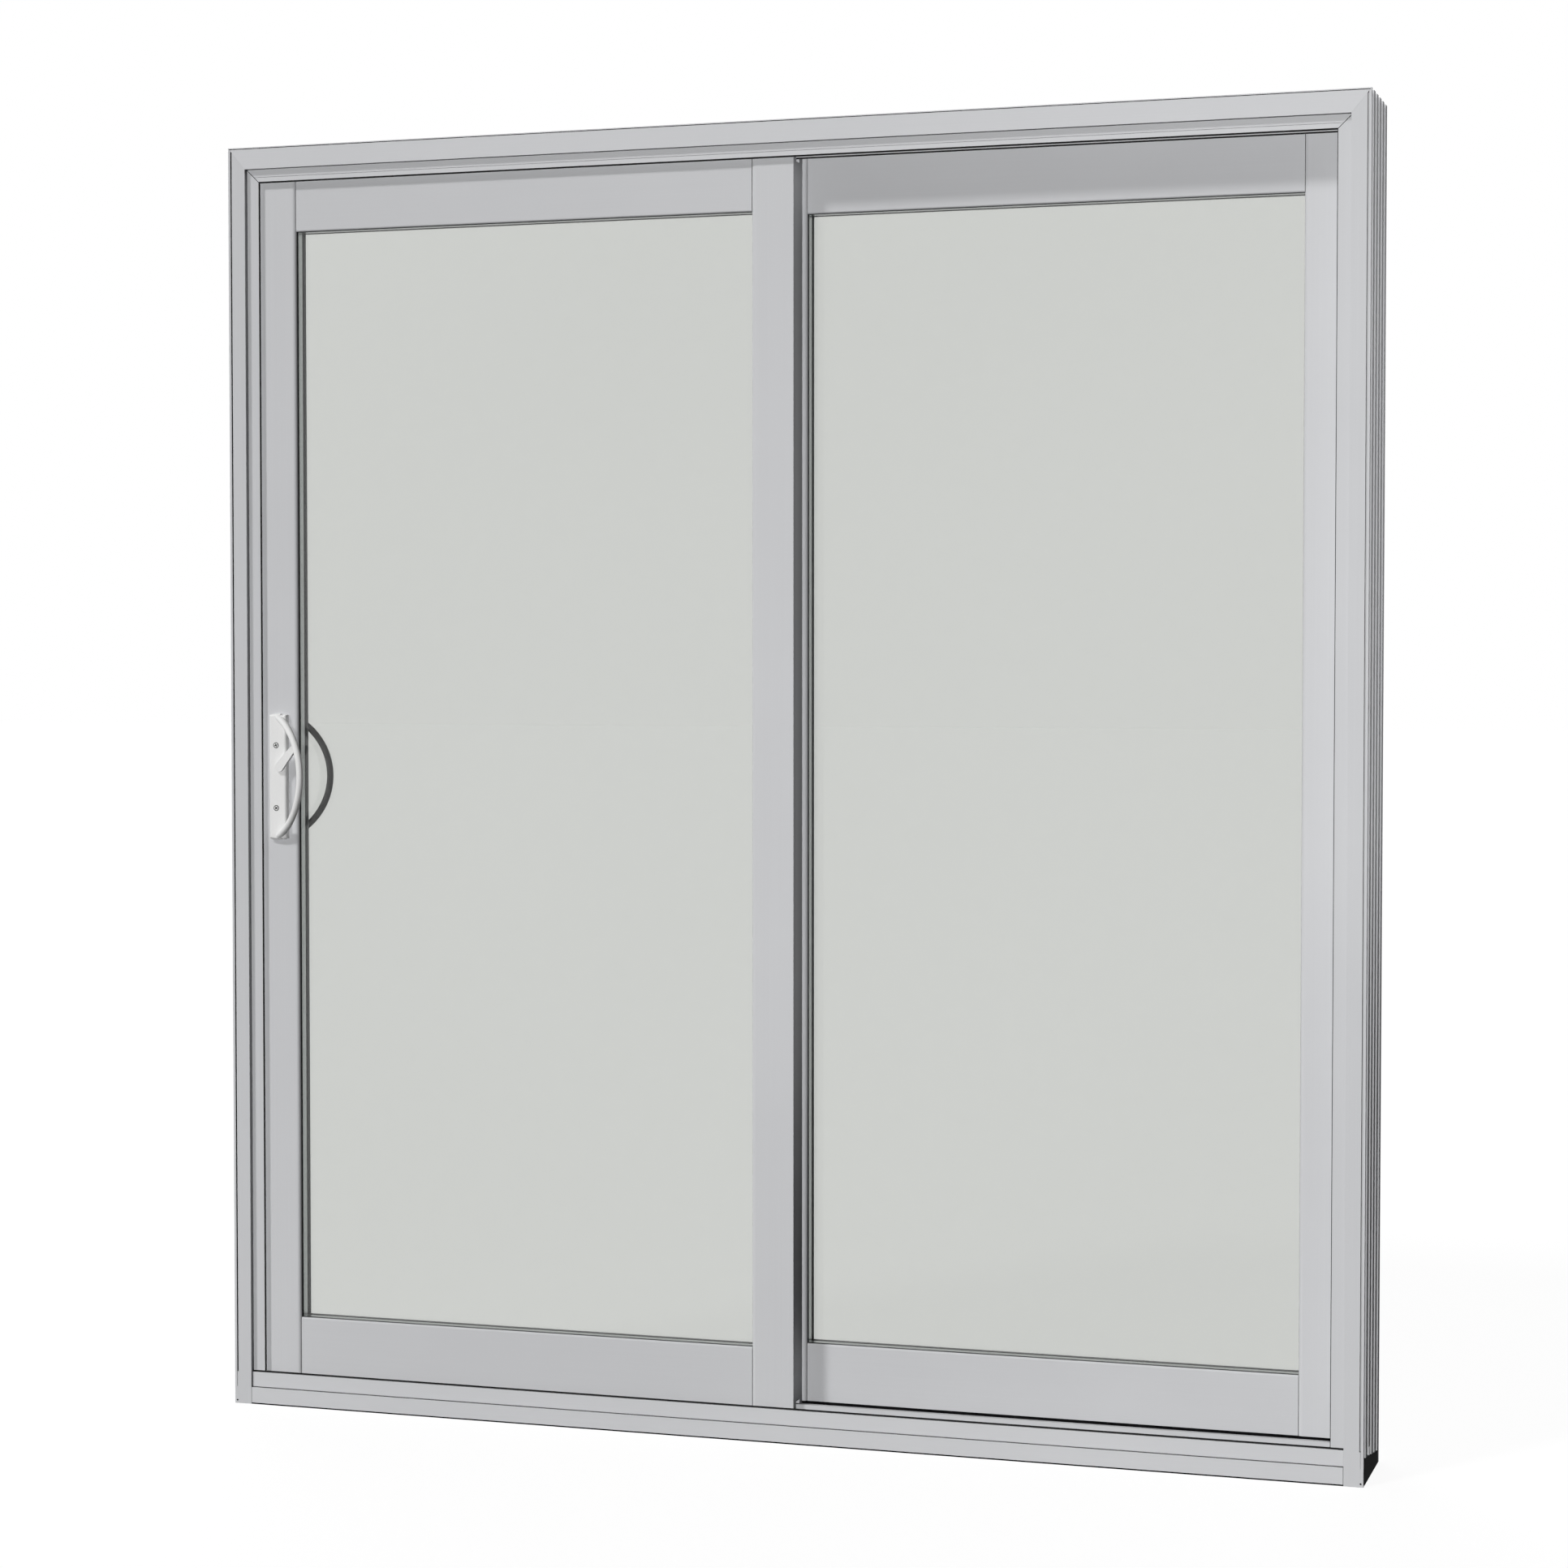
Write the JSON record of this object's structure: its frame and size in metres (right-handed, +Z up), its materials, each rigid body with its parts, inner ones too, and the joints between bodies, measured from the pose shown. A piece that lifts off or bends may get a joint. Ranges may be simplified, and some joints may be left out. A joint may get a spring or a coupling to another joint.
{
  "type": "sliding patio door",
  "caption": "Glass sliding patio door: a deep white frame and sill with a fixed glazed panel and a glazed panel that slides past it on rollers, with curved pulls and a thumb lever.",
  "frame": {"origin": "middle of the sill's underside, half way through the frame's depth", "axes": "+X right along the wall as seen from the room, +Y through the wall to the outside, +Z up"},
  "size_m": [1.816, 0.1891, 2.019],
  "materials": {
    "frame_profile": "satin white extruded profile",
    "panel_profile": "satin white extruded profile",
    "sill_core": "matte black composite",
    "track_profile": "white capped rail",
    "glass": "clear low-emissivity glass",
    "spacer": "satin grey spacer bar",
    "gasket": "black glazing gasket",
    "seal_pile": "dark pile seal",
    "white_handle": "white satin paint",
    "dark_handle": "black satin paint",
    "steel": "brushed",
    "roller_nylon": "nylon"
  },
  "bodies": {
    "frame": {"head_jamb": "frame_profile", "lock_jamb": "frame_profile", "fixed_jamb": "frame_profile", "head_stop": "frame_profile", "lock_stop": "frame_profile", "fixed_stop": "frame_profile", "head_guide": "track_profile", "sill_core": "sill_core", "sill_fascia": "frame_profile", "sill_nosing": "frame_profile", "roller_track": "track_profile", "fixed_panel_riser": "sill_core", "fixed_panel_packer": "frame_profile", "fixed_meeting_stile": "panel_profile", "fixed_jamb_stile": "panel_profile", "fixed_top_rail": "panel_profile", "fixed_bottom_rail": "panel_profile", "fixed_inner_pane": "glass", "fixed_outer_pane": "glass", "fixed_spacer": "spacer", "fixed_gaskets": "gasket", "meeting_seal": "seal_pile", "keeper_plate": "steel", "stop_seal": "gasket", "sill_seal": "gasket", "guide_pile": "seal_pile"},
    "sliding_panel": {"sliding_lock_stile": "panel_profile", "sliding_meeting_stile": "panel_profile", "sliding_top_rail": "panel_profile", "sliding_bottom_rail": "panel_profile", "sliding_inner_pane": "glass", "sliding_outer_pane": "glass", "sliding_spacer": "spacer", "sliding_gaskets": "gasket", "room_handle_plate": "white_handle", "room_handle_pull": "white_handle", "outside_handle_plate": "dark_handle", "outside_handle_pull": "dark_handle", "latch_face_plate": "steel", "lock_end_roller": "roller_nylon", "meeting_end_roller": "roller_nylon", "lock_end_carriage": "steel", "meeting_end_carriage": "steel"},
    "thumb_latch": {"thumb_lever": "white_handle"}
  },
  "joints": [
    {"name": "panel_slide", "type": "slide", "parent": "frame", "child": "sliding_panel", "axis": [1, 0, 0], "range_m": [0, 0.735]},
    {"name": "latch_turn", "type": "hinge", "parent": "sliding_panel", "child": "thumb_latch", "pos_m": [-0.8255, -0.07535, 1.0306], "axis": [0, 1, 0], "range_deg": [0, 100]}
  ]
}
